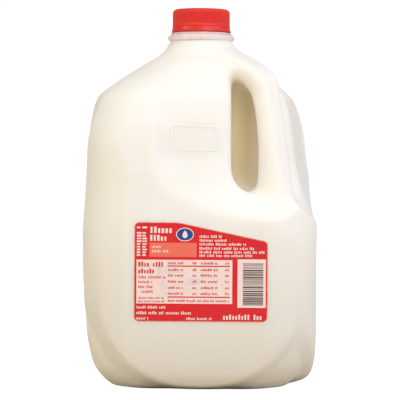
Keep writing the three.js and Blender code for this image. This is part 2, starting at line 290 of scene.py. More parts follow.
def spline(points, count):
    """A curve through the points, as Catmull-Rom pieces, in count even steps of their parameter."""
    p = np.array(points, float)
    p = np.vstack([2 * p[0] - p[1], p, 2 * p[-1] - p[-2]])
    t = np.linspace(0, len(points) - 1, count)
    i = np.minimum(t.astype(int), len(points) - 2)
    f = (t - i)[:, None]
    a, b, c, d = (p[i + n] for n in range(4))
    return b + f * (c - a) / 2 + f**2 * (a - 2.5 * b + 2 * c - d / 2) + f**3 * (1.5 * (b - c) + (d - a) / 2)


PROFILE_CURVE = spline(PROFILE, PROFILE_COUNT)
PAD_CURVE = spline(PAD_PROFILE, PROFILE_COUNT)
OUTER_CURVE, INNER_CURVE = (spline(*side) for side in zip((HANDLE_OUTER, HANDLE_INNER), HANDLE_COUNTS))
HANDLE_OUTLINE = np.vstack([OUTER_CURVE, HANDLE_BURIED, INNER_CURVE])


def half_width(z):
    """The body's half width at each height, read off its profile."""
    return np.interp(z, PROFILE_CURVE[:, 1], PROFILE_CURVE[:, 0])


def section(size, x, y, z):
    """Half width of the rounded square through a point: its distance from the axis over the outline's reach.

    A side's reach is 1 / cos of the angle from its middle. A corner's is where the ray leaves an arc."""
    distance = np.maximum(np.hypot(x, y), 1e-6)
    long, short = np.maximum(np.abs(x), np.abs(y)), np.minimum(np.abs(x), np.abs(y))
    flat, radius = math.tan(FLAT_ANGLE), size.corner_arc / HALF_WIDTH
    total = 1 + flat
    centre = (total - math.sqrt(total**2 - 2 * (1 + flat**2 - radius**2))) / 2
    along = centre * (long + short) / distance
    arc = along + np.sqrt(np.maximum(along**2 - 2 * centre**2 + radius**2, 0))
    side = distance / np.maximum(long, 1e-6)
    angle = np.arctan2(short, long)
    reach = side + (arc - side) * smoothstep(FLAT_ANGLE - FLAT_BLEND, FLAT_ANGLE + FLAT_BLEND, angle)
    return distance / (reach + (1 - reach) * smoothstep(ROUND_FROM, ROUND_TO, z))


def pad_edge(size, x, z):
    """Distance outside the front pad's outline: by |x| above its centre, by half an ellipse below."""
    below = np.minimum(z - PAD_CENTRE, 0)
    return (np.hypot(x / size.pad_half_length, below / size.pad_drop) - 1) * size.pad_drop


def in_pad(size, x, y, z):
    """1 in the front pad's outline, 0 outside it and a ramp between."""
    return np.where(y < PAD_BACK, 1 - smoothstep(*PAD_RAMP, pad_edge(size, x, z)), 0)


def pad_groove(size, x, y, z):
    """Depth of the groove just outside the pad's outline: a bell curve across it.

    It fades out upwards, backwards and towards the handle's corner."""
    across = np.exp(-(((pad_edge(size, x, z) - GROOVE_MIDDLE) / GROOVE_WIDTH) ** 2))
    faded = smoothstep(*GROOVE_HEIGHT, z) * smoothstep(*GROOVE_BACK, y) * smoothstep(*GROOVE_SIDE, x)
    return GROOVE_DEPTH * across * faded


def side_lean(z):
    """How far the front and right sides lean in at each height: straight up to the dome, then faded out."""
    low, high = SIDE_LEAN_RISE
    return SIDE_LEAN * np.clip((z - low) / (high - low), 0, 1) * (1 - smoothstep(*SIDE_LEAN_FADE, z))


def body_field(size, x, y, z):
    """Signed distance, roughly, to the body: the section's half width less the profile's, over the slope.

    In a pad the profile goes straight down to a round heel. The leaning sides are planes that cut the
    section, rounded where they meet it by as much as they lean."""
    lean = side_lean(z)
    across = smooth_max(section(size, x, y, z), np.maximum(x, -y) + lean, lean + LEAST_ROUNDING)
    straight = np.interp(z, PAD_CURVE[:, 1], PAD_CURVE[:, 0])
    profile = half_width(z)
    pad = np.maximum(in_pad(size, x, y, z), in_pad(size, -y, -x, z)) * (z < PAD_TOP)
    groove = np.maximum(pad_groove(size, x, y, z), pad_groove(size, -y, -x, z))
    profile = profile + (straight - profile) * pad - groove * (1 - pad)
    slope = (half_width(z + PROFILE_STEP) - half_width(z - PROFILE_STEP)) / (2 * PROFILE_STEP)
    side = (across - profile) / np.sqrt(1 + slope**2)
    return smooth_max(smooth_max(side, -z, BASE_ROUNDING), z - BODY_TOP, BASE_ROUNDING)


def front_cut(size, x, y, z):
    """What stays behind the front panel, to the far side of its edge, or below its ledge.

    The panel is a slanted plane that leans back with the side and with part of the dome, and its edge is a
    riser. The ledge's foot is level at the handle and climbs exponentially away from it."""
    lean = PANEL_LEAN * (HALF_WIDTH - half_width(z)) + side_lean(z)
    behind = -(y + HALF_WIDTH)
    panel = PANEL_STEP + PANEL_SLANT * (x - PANEL_EDGE) + lean + behind
    foot = size.ledge_foot + LEDGE_CLIMB * np.exp((PANEL_EDGE - x) / LEDGE_FADE)
    slope = LEDGE_STEEP + (LEDGE_SHALLOW - LEDGE_STEEP) * smoothstep(*LEDGE_TURN, x)
    ledge = (z - foot) / slope + behind
    edge = (x - PANEL_EDGE) + (behind + lean) / PANEL_RISER
    return smooth_min(smooth_min(panel, ledge, LEDGE_SOFTNESS), edge, PANEL_EDGE_SOFTNESS)


def notch_field(size, x, y, z):
    """What stays round the notch: behind either wall or under its floor, with round inner corners."""
    walls = smooth_min(x - size.notch_wall, -y - size.notch_wall, size.notch_fillet)
    return smooth_min(walls, z - size.notch_floor, NOTCH_FLOOR_FILLET)


def outline_field(u, z):
    """Signed distance to the handle's outline in its plane: to the nearest side, negative inside."""
    nearest = np.full(u.shape, np.inf)
    inside = np.zeros(u.shape, bool)
    for (ax, az), (bx, bz) in zip(HANDLE_OUTLINE, np.roll(HANDLE_OUTLINE, -1, axis=0)):
        ex, ez = bx - ax, bz - az
        px, pz = u - ax, z - az
        t = np.clip((px * ex + pz * ez) / (ex * ex + ez * ez), 0, 1)
        nearest = np.minimum(nearest, (px - t * ex) ** 2 + (pz - t * ez) ** 2)
        if ez:
            inside ^= ((az > z) != (bz > z)) & (u < ax + pz * ex / ez)
    return np.where(inside, -1, 1) * np.sqrt(nearest)


def handle_field(size, x, y, z):
    """The handle: its outline in the corner's plane, as deep as its half width, with round edges."""
    u, t = (x - y) / math.sqrt(2), (x + y) / math.sqrt(2)
    flares = (HANDLE_TOP_FLARE, HANDLE_FOOT_FLARE)
    half = size.handle_half_width + sum(amount * smoothstep(low, high, z) for amount, low, high in flares)
    return round_max(outline_field(u, z), np.abs(t) - half, size.handle_rounding)


def bottle_field(size, points):
    """The whole bottle below its neck as one field: the body, less panels and notch, plus the handle."""
    x, y, z = points.T
    cuts = smooth_max(front_cut(size, x, y, z), front_cut(size, -y, -x, z), PANEL_SOFTNESS)
    cuts = smooth_max(cuts, notch_field(size, x, y, z), NOTCH_EDGE)
    solid = smooth_max(body_field(size, x, y, z), cuts, PANEL_SOFTNESS)
    near = (x - y > 0) & (np.abs(x + y) < HANDLE_REACH * math.sqrt(2)) & (z > HANDLE_BURIED[0][1])
    solid[near] = smooth_min(solid[near], handle_field(size, x[near], y[near], z[near]), HANDLE_BLEND)
    return solid


def slope_of(field, points):
    """How fast the field grows along x, y and z: its difference over a short step across each point."""
    shifts = np.eye(3) * SLOPE_STEP
    return np.stack([field(points + s) - field(points - s) for s in shifts], axis=1) / (2 * SLOPE_STEP)


def onto(field, points, most=LONGEST_MOVE):
    """Moves points on to the surface where the field is 0, down its slope, by the field over the slope."""
    for _ in range(MOVES):
        slope = slope_of(field, points)
        steepness = np.maximum((slope**2).sum(1, keepdims=True), LEAST_SLOPE_SQUARED)
        move = field(points)[:, None] * slope / steepness
        points = points - np.clip(move, -most, most)
    return points


def evened(field, points, quads):
    """Moves each point half way to the mean of its neighbours, then back on to the surface, a few times."""
    ends = np.vstack([quads[:, [i, (i + 1) % 4]] for i in range(4)])
    total = np.bincount(ends[:, 0], minlength=len(points))[:, None]
    points = onto(field, points)
    for _ in range(RELAX_ROUNDS):
        sums = [np.bincount(ends[:, 0], points[ends[:, 1], n], len(points)) for n in range(3)]
        points = onto(field, (points + np.stack(sums, axis=1) / total) / 2)
    return points


def net(field, low, high, cell):
    """A closed quad mesh of the surface where a field is 0.

    The jug's body, recess and handle flow into one another, which no grid of two parameters gives, so the
    field is worked out on a lattice. Each lattice cell that the surface passes through gets one point, at the
    mean of its edge crossings, and each lattice edge that it crosses gets the quad of its four cells. The
    points are then evened out and moved on to the surface."""
    axes = [np.arange(a, b + cell, cell) for a, b in zip(low, high)]
    shape = [len(a) for a in axes]
    lattice = np.stack(np.meshgrid(*axes, indexing="ij"), axis=-1).reshape(-1, 3)
    parts = np.array_split(lattice, LATTICE_PARTS)
    values = np.concatenate([field(part) for part in parts]).reshape(shape)
    inside = values < 0
    corners = np.array([(i, j, k) for i in (0, 1) for j in (0, 1) for k in (0, 1)])
    windows = [tuple(slice(c, n - 1 + c) for c, n in zip(corner, shape)) for corner in corners]
    filled = sum(inside[w].astype(int) for w in windows)
    crossed = (filled > 0) & (filled < len(corners))
    index = np.full(crossed.shape, -1)
    index[crossed] = np.arange(crossed.sum())
    at = [values[w][crossed] for w in windows]
    places, hits = np.zeros((crossed.sum(), 3)), np.zeros((crossed.sum(), 1))
    for a, b in ((a, b) for a in range(8) for b in range(a) if abs(corners[a] - corners[b]).sum() == 1):
        cut = ((at[a] < 0) != (at[b] < 0))[:, None]
        share = (at[a] / np.where(at[a] == at[b], 1, at[a] - at[b]))[:, None]
        places += np.where(cut, corners[a] + share * (corners[b] - corners[a]), 0)
        hits += cut
    points = low + cell * (np.argwhere(crossed) + places / hits)
    quads = []
    for axis in range(3):
        ahead = np.roll(inside, -1, axis)
        edges = np.argwhere(inside != ahead)
        out = inside[tuple(edges.T)]
        b, c = (axis + 1) % 3, (axis + 2) % 3
        ring = []
        for back_b, back_c in ((0, 0), (1, 0), (1, 1), (0, 1)):
            cell_at = edges.copy()
            cell_at[:, b] -= back_b
            cell_at[:, c] -= back_c
            ring.append(index[tuple(cell_at.T)])
        ring = np.stack(ring, axis=1)
        quads.append(np.where(out[:, None], ring, ring[:, ::-1]))
    quads = np.vstack(quads)
    return evened(field, points, quads), quads


def grid_faces(rows, columns):
    """Quads of a grid of points, row after row, whose rows and columns both join end to end."""
    r = np.arange(rows)[:, None]
    c = np.arange(columns)[None, :]
    r2, c2 = (r + 1) % rows, (c + 1) % columns
    quads = np.broadcast_arrays(r * columns + c, r * columns + c2, r2 * columns + c2, r2 * columns + c)
    return np.stack(quads, -1).reshape(-1, 4)


def turned(profile, steps, bend=None):
    """A closed outline of radius and height turned round the axis; bend changes the radius with the angle."""
    radius, height = (np.array(profile, float)[:, [n]] for n in (0, 1))
    angle = np.arange(steps) * 2 * math.pi / steps
    radius = radius + (0 if bend is None else bend(radius, height, angle))
    radius, height = np.broadcast_arrays(radius, height + 0 * angle)
    points = np.stack([radius * np.cos(angle), radius * np.sin(angle), height], -1).reshape(-1, 3)
    return points, grid_faces(len(profile), steps)


def arc(centre, radius, start, end, steps):
    """Points of radius and height on an arc between two angles in degrees."""
    a = np.radians(np.linspace(start, end, steps))
    return np.stack([centre[0] + radius * np.cos(a), centre[1] + radius * np.sin(a)], 1)


def raised_frame(field):
    """A raised line round a rectangle on the front panel: half a wave carried round, with its feet sunk.

    The path is a rectangle with round corners in x and z, at even steps, moved on to the bottle. Each row of
    the grid is the path moved sideways by an offset and out along the surface by a height."""
    left, right, low, high = FRAME_BOX
    r = FRAME_CORNER
    corners = [(left + r, low + r), (right - r, low + r), (right - r, high - r), (left + r, high - r)]
    turns = [arc(corner, r, 180 + 90 * i, 270 + 90 * i, 6) for i, corner in enumerate(corners)]
    path = np.vstack([*turns, turns[0][:1]])
    along = np.append(0, np.cumsum(np.hypot(*np.diff(path, axis=0).T)))
    even = np.linspace(0, along[-1], FRAME_STEPS, endpoint=False)
    x, z = (np.interp(even, along, path[:, n]) for n in (0, 1))
    tangent = np.stack([np.roll(x, -1) - np.roll(x, 1), np.roll(z, -1) - np.roll(z, 1)], 1)
    outward = np.stack([tangent[:, 1], -tangent[:, 0]], 1) / np.hypot(*tangent.T)[:, None]
    across = np.linspace(1, -1, FRAME_ROWS)
    wave = (FRAME_HEIGHT + FRAME_SINK) * np.cos(across * math.pi / 2) - FRAME_SINK
    offsets = np.append(across, 0) * FRAME_WIDTH / 2
    heights = np.append(wave, -2 * FRAME_SINK)
    start = np.full(len(x), FRAME_START)
    rows = []
    for offset, height in zip(offsets, heights):
        flat = np.column_stack([x + offset * outward[:, 0], start, z + offset * outward[:, 1]])
        placed = onto(field, flat, FRAME_REACH)
        normal = slope_of(field, placed)
        rows.append(placed + height * normal / np.linalg.norm(normal, axis=1, keepdims=True))
    return np.vstack(rows), grid_faces(len(rows), len(x))


def add_piece(name, points, faces, material, node_name, slot_name, sharp=None):
    """Makes a mesh object at the origin from points in millimetres and ties it to the frame."""
    mesh = bpy.data.meshes.new(name)
    mesh.from_pydata((np.asarray(points) * MM).tolist(), [], [list(face) for face in faces])
    mesh.polygons.foreach_set("use_smooth", np.ones(len(mesh.polygons), bool))
    if sharp is not None:
        mesh.set_sharp_from_angle(angle=math.radians(sharp))
    mesh.materials.append(material)
    piece = bpy.data.objects.new(name, mesh)
    bpy.context.scene.collection.objects.link(piece)
    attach(piece, "root")
    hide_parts(node_name)
    return piece


def node(tree, kind, settings=None, **inputs):
    """Adds a node. An input is named with _ for a space and gets a value, or a link if it is a socket.

    A colour is given as three linear numbers."""
    made = tree.nodes.new(kind)
    for key, value in (settings or {}).items():
        setattr(made, key, value)
    for key, value in inputs.items():
        socket = made.inputs[key.replace("_", " ")]
        if isinstance(value, bpy.types.NodeSocket):
            tree.links.new(value, socket)
        elif socket.type == "RGBA":
            socket.default_value = (*value, 1)
        else:
            socket.default_value = value
    return made


def new_material(name, **constants):
    """An empty material with its shader's constants set: its tree, its shader and its Object coordinates."""
    material = bpy.data.materials.new(name)
    material.use_nodes = True
    tree = material.node_tree
    tree.nodes.clear()
    shader = node(tree, "ShaderNodeBsdfPrincipled", **constants)
    node(tree, "ShaderNodeOutputMaterial", Surface=shader.outputs[0])
    place = node(tree, "ShaderNodeTexCoord").outputs["Object"]
    return SimpleNamespace(made=material, tree=tree, shader=shader, place=place)


def varied(look, size, low, high):
    """A number that wanders between low and high over the surface, in blotches of a size in millimetres."""
    noise = node(look.tree, "ShaderNodeTexNoise", Vector=look.place, Scale=1 / (size * MM), Detail=2.0)
    least, most = NOISE_RANGE
    return node(
        look.tree,
        "ShaderNodeMapRange",
        Value=noise.outputs["Fac"],
        From_Min=least,
        From_Max=most,
        To_Min=low,
        To_Max=high,
    ).outputs[0]


def mottled(look, size, first, second):
    """A colour that wanders between two over the surface, in blotches of a size in millimetres."""
    share = varied(look, size, 0.0, 1.0)
    return node(look.tree, "ShaderNodeMixRGB", Fac=share, Color1=first, Color2=second).outputs[0]


def coloured(look, colour):
    """Gives the shader its colour from a socket."""
    look.tree.links.new(colour, look.shader.inputs["Base Color"])


def roughened(look, size, low, high):
    """Lets the shader's roughness wander between two values, in blotches of a size in millimetres."""
    look.tree.links.new(varied(look, size, low, high), look.shader.inputs["Roughness"])


def bumped(look, *layers):
    """Layers of noise as bumps, each a size and a depth in millimetres."""
    normal = look.shader.inputs["Normal"]
    for size, depth in layers:
        noise = node(look.tree, "ShaderNodeTexNoise", Vector=look.place, Scale=1 / (size * MM), Detail=1.0)
        relief = noise.outputs["Fac"]
        bump = node(look.tree, "ShaderNodeBump", Strength=1.0, Distance=depth * MM, Height=relief)
        if normal.is_linked:
            look.tree.links.new(normal.links[0].from_socket, bump.inputs["Normal"])
        look.tree.links.new(bump.outputs["Normal"], normal)


def blow_moulded_hdpe(name, colours, sink):
    """Unpigmented polyethylene over milk: creamy white, soft gloss, and light sinks in a few millimetres.

    The wall's colour holds painted shade: it turns darker and creamier towards the base, and warm in the gap
    behind the handle, where shade falls. The bump has shallow waves of about 30 mm from blowing, and the
    mould's satin."""
    look = new_material(
        name,
        IOR=1.5,
        Specular_IOR_Level=0.35,
        Subsurface_Weight=sink,
        Subsurface_Radius=(1.0, 0.82, 0.64),
        Subsurface_Scale=6 * MM,
    )
    height = node(look.tree, "ShaderNodeSeparateXYZ", Vector=look.place).outputs["Z"]
    turn = node(look.tree, "ShaderNodeMapping", Vector=look.place, Rotation=(0, 0, math.pi / 4))
    corner = node(look.tree, "ShaderNodeSeparateXYZ", Vector=turn.outputs[0])
    out = corner.outputs["X"]
    side = node(look.tree, "ShaderNodeMath", {"operation": "ABSOLUTE"}, Value=corner.outputs["Y"]).outputs[0]
    # Mask of the painted warm shade in the gap behind the handle, faded by height, by distance out and across
    fades = (
        (height, HOLLOW_FOOT),
        (height, HOLLOW_TOP),
        (out, HOLLOW_BACK),
        (out, HOLLOW_FRONT),
        (side, HOLLOW_SIDE),
    )
    hollow = 1.0
    for value, (start, end) in fades:
        ramp = {"Value": value, "From_Min": start * MM, "From_Max": end * MM, "To_Max": hollow}
        hollow = node(look.tree, "ShaderNodeMapRange", **ramp).outputs[0]
    # Painted shade: the wall's colour turns darker and creamier towards the base
    low, high = (end * MM for end in PAINTED_BASE_SHADE)
    rise = node(look.tree, "ShaderNodeMapRange", Value=height, From_Min=low, From_Max=high).outputs[0]
    plain = mottled(look, 38, colours.wall, colours.wall_shade)
    body = node(look.tree, "ShaderNodeMixRGB", Fac=rise, Color1=colours.wall_low, Color2=plain).outputs[0]
    both = node(look.tree, "ShaderNodeMixRGB", Fac=hollow, Color1=body, Color2=colours.hollow)
    coloured(look, both.outputs[0])
    roughened(look, 12, 0.46, 0.58)
    bumped(look, (30, 0.25), (0.9, 0.012))
    return look.made


def clear_hdpe_neck(colours):
    """The same plastic with no milk behind it: greyer and more see-through, with painted red light from the
    cap.
    """
    look = new_material(
        "hdpe_unfilled_neck",
        IOR=1.5,
        Subsurface_Weight=0.4,
        Subsurface_Radius=(1.0, 0.7, 0.6),
        Subsurface_Scale=3 * MM,
    )
    height = node(look.tree, "ShaderNodeSeparateXYZ", Vector=look.place).outputs["Z"]
    low, high = (end * MM for end in NECK_FADE)
    rise = node(look.tree, "ShaderNodeMapRange", Value=height, From_Min=low, From_Max=high).outputs[0]
    # The pink is painted light, the cap's red glow on the neck, mottled with the grey of the unfilled plastic
    plain = mottled(look, 5, colours.neck_mauve, colours.neck_pink)
    both = node(look.tree, "ShaderNodeMixRGB", Fac=rise, Color1=colours.wall, Color2=plain)
    coloured(look, both.outputs[0])
    roughened(look, 6, 0.2, 0.32)
    bumped(look, (4, 0.05))
    return look.made


def moulded_cap_plastic(colours):
    """Injection-moulded polyethylene: strong red, glossy where the polished mould touched it."""
    look = new_material(
        "hdpe_injection_moulded_red",
        IOR=1.5,
        Subsurface_Weight=0.12,
        Subsurface_Radius=(1.0, 0.15, 0.08),
        Subsurface_Scale=1.5 * MM,
    )
    coloured(look, mottled(look, 7, colours.cap, colours.cap_shade))
    roughened(look, 3, 0.32, 0.42)
    bumped(look, (1.2, 0.01))
    return look.made


def whole_milk(colours):
    """Whole milk: white with a trace of yellow, wet gloss, light sinks in a millimetre or two."""
    look = new_material(
        "whole_milk",
        IOR=1.35,
        Subsurface_Weight=0.8,
        Subsurface_Radius=(1.0, 0.8, 0.5),
        Subsurface_Scale=3 * MM,
    )
    coloured(look, mottled(look, 25, colours.milk, colours.wall))
    roughened(look, 10, 0.1, 0.2)
    return look.made


def printed_film(name, colour, shade):
    """Ink on satin film: an even colour with the slight mottle of flexographic print."""
    look = new_material(name, IOR=1.45)
    coloured(look, mottled(look, 3, colour, shade))
    roughened(look, 5, 0.42, 0.52)
    bumped(look, (2.5, 0.006))
    return look.made


def studio_floor(colours, glow):
    """Seamless white paper: matt, with a fine tooth, and exposed so that the camera sees it burn out."""
    look = new_material("paper_seamless", Roughness=0.9, Emission_Color=(1, 1, 1))
    bumped(look, (1.5, 0.02))
    eye = node(look.tree, "ShaderNodeLightPath").outputs["Is Camera Ray"]
    paper = mottled(look, 60, colours.floor, colours.floor_shade)
    both = node(look.tree, "ShaderNodeMixRGB", Fac=eye, Color1=colours.bounce, Color2=paper)
    coloured(look, both.outputs[0])
    seen = node(look.tree, "ShaderNodeMapRange", Value=eye, To_Min=0.0, To_Max=glow).outputs[0]
    look.tree.links.new(seen, look.shader.inputs["Emission Strength"])
    return look.made


def neck_outline(size):
    """Closed outline of the neck: bumper ring, the straight finish under the cap, and the bore inside."""
    tube = size.ring_radius - (size.ring_top - size.ring_bottom) / 2
    middle = (size.ring_top + size.ring_bottom) / 2
    ring = arc((tube, middle), size.ring_radius - tube, -80, 80, 15)
    foot, bore = BODY_TOP - NECK_SUNK, size.finish_radius - size.finish_wall
    outside = [(size.neck_radius, foot), (size.neck_radius, size.ring_bottom + 0.1)]
    above = [(size.neck_radius, size.ring_top), (size.neck_radius, size.neck_top - NECK_CHAMFER)]
    lip = [(size.neck_radius - NECK_CHAMFER, size.neck_top), (size.finish_radius, size.neck_top)]
    finish = [(size.finish_radius, FINISH_TOP), (bore, FINISH_TOP), (bore, foot)]
    return np.vstack([outside, ring, above, lip, finish])


def cap_outline(size):
    """Closed outline of the cap: crown, round top edge, ribbed side, small step, flared band and bore."""
    foot, top, inside = CAP_LOW[2], CAP_HIGH[2], FINISH_TOP + CAP_HEADROOM
    side, band = size.cap_radius, CAP_HIGH[0]
    corner = arc((side - size.cap_corner, top - size.cap_corner), size.cap_corner, 90, 0, 9)
    ribs = [(side, z) for z in np.linspace(top - size.cap_corner - 0.4, size.cap_step + CAP_STEP_RADIUS, 8)]
    step = arc((side - CAP_STEP_RADIUS / 2, size.cap_step), CAP_STEP_RADIUS, 45, -50, 5)
    band_top, band_middle = (side + 0.05, size.cap_step - 0.7), (side + 0.2, foot + 2.6)
    flare = spline([band_top, band_middle, (band - 0.35, foot + 1.2)], 8)
    lip = arc((band - CAP_LIP_RADIUS, foot + CAP_LIP_RADIUS + 0.1), CAP_LIP_RADIUS, 30, -90, 7)
    bore = [(size.cap_bore, foot + 0.1), (size.cap_bore, inside), (CAP_POLE, inside)]
    return np.vstack([[(CAP_POLE, top), (side * 0.5, top)], corner, ribs, step, flare, lip, bore])


def rib_bend(size):
    """Grooves between the ribs: a rounded wave in the angle, faded out at the top edge and above the step."""

    def bend(radius, height, angle):
        wave = np.abs(np.cos(angle * size.cap_ribs / 2)) ** RIB_SHARPNESS
        low = smoothstep(size.cap_step, size.cap_step + RIB_FADE, height)
        top = CAP_HIGH[2]
        high = 1 - smoothstep(top - size.cap_corner * RIB_TOP_SHARE, top - RIB_TOP_GAP, height)
        outer = radius > size.cap_radius - size.cap_corner
        return -size.cap_rib_depth * (1 - wave) * low * high * outer

    return bend


def label_edge(size, inset):
    """Outline of the label in x and z, moved in: round corners, and a top edge that slopes to the handle."""
    left, right = LABEL_LOW[0] + inset, LABEL_HIGH[0] - inset
    low, high = LABEL_LOW[2] + inset, LABEL_HIGH[2] - inset
    fall, run = LABEL_HIGH[2] - size.label_right_top, LABEL_HIGH[0] - size.label_slope_from
    slope = math.degrees(math.atan2(fall, run))
    r = size.label_corner - inset
    drop = r * math.tan(math.radians(slope))
    return np.vstack(
        [
            arc((left + r, low + r), r, 180, 270, 8),
            arc((right - r, low + r), r, 270, 360, 8),
            arc((right - r, size.label_right_top - inset - r + drop), r, 0, 90 - slope, 8),
            arc((size.label_slope_from, high - LABEL_BEND), LABEL_BEND, 90 - slope, 90, 6),
            arc((left + r, high - r), r, 90, 180, 8),
        ]
    )


def plate(outline, front, back):
    """A closed flat plate from its outline in x and z, anticlockwise from the front, between two depths."""
    n = len(outline)
    sides = [np.column_stack([outline[:, 0], np.full(n, y), outline[:, 1]]) for y in (front, back)]
    around = [(i, n + i, n + (i + 1) % n, (i + 1) % n) for i in range(n)]
    return np.vstack(sides), [tuple(range(n)), tuple(range(2 * n - 1, n - 1, -1)), *around]


def plates(outlines, front, back):
    """Several plates in one mesh."""
    points, faces, start = [], [], 0
    for outline in outlines:
        p, f = plate(np.asarray(outline, float), front, back)
        points.append(p)
        faces += [tuple(start + i for i in face) for face in f]
        start += len(p)
    return np.vstack(points), faces


def box_outline(left, right, low, high):
    """Corners of a rectangle, anticlockwise."""
    return [(left, low), (right, low), (right, high), (left, high)]


def oval(x, z, across, up):
    """An ellipse: its half width times the cosine and its half height times the sine, round its centre."""
    a = np.linspace(0, 2 * math.pi, 40, endpoint=False)
    return np.stack([x + across * np.cos(a), z + up * np.sin(a)], 1)


def drop_outline(x, z, size):
    """A drop: a circle whose upper half is drawn up and narrows with the square of the sine."""
    a = np.linspace(0, 2 * math.pi, 32, endpoint=False)
    upper = np.sin(a) > 0
    wide = np.cos(a) * np.where(upper, 1 - np.sin(a) ** 2 * DROP_TAPER, 1)
    tall = np.sin(a) * np.where(upper, DROP_POINT, DROP_FOOT) - DROP_SHIFT
    return np.stack([x + size * DROP_WIDTH * wide, z + size * tall], 1)


def strokes(left, right, low, high, random):
    """A line of fine print that spells nothing: upright strokes at an even pitch, in groups, some shorter."""
    tall = high - low
    count = int((right - left) / (tall * STROKE_PITCH))
    place = left + (np.arange(count) + 0.5) * tall * STROKE_PITCH
    half = tall * random.uniform(*STROKE_HALF_WIDTH, count)
    top = np.where(random.random(count) < SHORT_SHARE, low + tall * SHORT_HEIGHT, high)
    gaps = np.cumsum(random.integers(*STROKE_GROUP, count))
    kept = ~np.isin(np.arange(count), gaps)
    rows = zip(place[kept], half[kept], top[kept])
    return [box_outline(x - wide, x + wide, low, high) for x, wide, high in rows]


def length(name, description, value):
    """A size setting: a length, kept in metres and given in millimetres."""
    return FloatProperty(name=name, description=description, default=value * MM, unit="LENGTH", precision=4)


def colour(name, description, code):
    """A colour setting from an sRGB hex code, kept linear."""
    return FloatVectorProperty(
        name=name, description=description, default=linear(code), subtype="COLOR", min=0, max=1
    )


def number(name, description, value):
    """A setting that is a plain number."""
    return FloatProperty(name=name, description=description, default=value)


def in_millimetres(settings):
    """A group's settings as they are, but its lengths in millimetres."""
    rows = settings.bl_rna.properties
    values = {key: getattr(settings, key) for key in type(settings).__annotations__}
    lengths = {key: value / MM for key, value in values.items() if rows[key].unit == "LENGTH"}
    return SimpleNamespace(**{**values, **lengths})


class JugBodySettings(bpy.types.PropertyGroup):
    """Sizes of the bottle below its neck."""

    corner_arc: length("Corner arc", "Radius of the arc between two sides", 39.4)
    pad_half_length: length("Pad half length", "Half width of the pads' rounded lower outline", 67)
    pad_drop: length("Pad drop", "How far the outline reaches down from its centre", 60.5)
    notch_wall: length("Notch wall", "Distance of both walls of the hand recess from the axis", 19.6)
    notch_fillet: length("Notch fillet", "Rounding between the two walls", 11.5)
    notch_floor: length("Notch floor", "Height of the recess floor beside the handle", 125)
    ledge_foot: length("Ledge foot", "Height at which the ledge leaves the side at the handle", 107.5)
    handle_half_width: length("Handle half width", "Half the handle's width at its middle", 8.9)
    handle_rounding: length("Handle rounding", "Radius of the handle's long edges", 6.2)
    cell: length("Cell", "Size of a cell of the lattice that the surface is found on", 1.4)


class JugTopSettings(bpy.types.PropertyGroup):
    """Sizes of the neck and the cap."""

    neck_radius: length("Neck radius", "Outer radius of the neck", 19.8)
    ring_radius: length("Ring radius", "Outer radius of the bumper ring", 21.8)
    ring_bottom: length("Ring bottom", "Height of the ring's lower edge", 225.9)
    ring_top: length("Ring top", "Height of the ring's upper edge", 229.7)
    neck_top: length("Neck top", "Height of the shoulder under the cap", 231.2)
    finish_radius: length("Finish radius", "Outer radius of the part that the cap pushes on to", 17)
    finish_wall: length("Finish wall", "Wall of that part", 1.8)
    cap_radius: length("Cap radius", "Radius over the ribs", 18.8)
    cap_corner: length("Cap corner", "Rounding of the cap's top edge", 2.6)
    cap_bore: length("Cap bore", "Inner radius of the cap", 17.2)
    cap_step: length("Cap step", "Height of the step between the ribs and the tear band", 235.6)
    cap_ribs: IntProperty(name="Ribs", description="Number of ribs round the cap", default=84, min=12)
    cap_rib_depth: length("Rib depth", "Depth of the grooves between the ribs", 0.32)


class JugFillSettings(bpy.types.PropertyGroup):
    """Sizes of the milk."""

    inset: length("Inset", "Distance from the bottle's outer surface to the milk", 0.5)
    fill_height: length("Fill height", "Height at which the milk stands", MILK_TOP)
    cell: length("Cell", "Size of a cell of the lattice that the milk's surface is found on", 3.4)


class JugLabelSettings(bpy.types.PropertyGroup):
    """Sizes of the label."""

    label_corner: length("Corner", "Rounding of the label's corners", 3.2)
    label_right_top: length("Right top", "Height that the top edge slopes down to", 95.2)
    label_slope_from: length("Slope from", "Where the top edge starts to slope, from the axis", -17.8)
    label_rim: length("Rim", "Width of the unprinted rim of the film", 0.45)
    film: length("Film", "Thickness of the film", 0.12)
    ink: length("Ink", "How far each field of print stands out, so that it shows", 0.05)


class JugColours(bpy.types.PropertyGroup):
    """Colours of the jug and the studio."""

    wall: colour("Wall", "Bottle over milk", "F8F5F3")
    wall_shade: colour("Wall, darker", "Bottle over milk where the wall is thicker", "F4F1ED")
    # Painted shade for the lower part of the bottle
    wall_low: colour("Wall, base", "Bottle over milk at the thick base", "E3DED6")
    # Painted warm shade for the gap behind the handle
    hollow: colour("Hollow", "Bottle in the hollow behind the handle", "E4D3AE")
    neck_mauve: colour("Neck, grey", "Neck with no milk behind it", "DCC6CC")
    # Painted red light from the cap on the neck
    neck_pink: colour("Neck, pink", "Neck that the cap tints", "F0CFCF")
    cap: colour("Cap", "Cap", "E3261B")
    cap_shade: colour("Cap, darker", "Cap where the plastic is thinner", "DC2018")
    milk: colour("Milk", "Whole milk", "FFFDF4")
    red: colour("Label red", "Field of the label", "E2202A")
    red_shade: colour("Label red, darker", "Uneven ink in the field", "DB1B26")
    white: colour("Print white", "White print", "F9E2DE")
    tint: colour("Print tint", "Pale field under the oval", "F2735E")
    panel: colour("Print panel", "Facts panel", "F9E1DF")
    grey: colour("Print grey", "Pale grey patches and thin rules", "D9D3DC")
    ink_red: colour("Print ink", "Red lines in the facts panel", "D2494E")
    bars: colour("Print bars", "Bars of the barcode", "4A4648")
    blue: colour("Print blue", "Oval", "1B4A97")
    rim: colour("Film rim", "Unprinted rim of the film", "F3B9A8")
    floor: colour("Floor", "Paper floor", "F4F3F1")
    floor_shade: colour("Floor, darker", "Paper floor, uneven", "F1F0EE")
    bounce: colour("Floor bounce", "Colour that the floor throws back at the jug", "E6DECD")


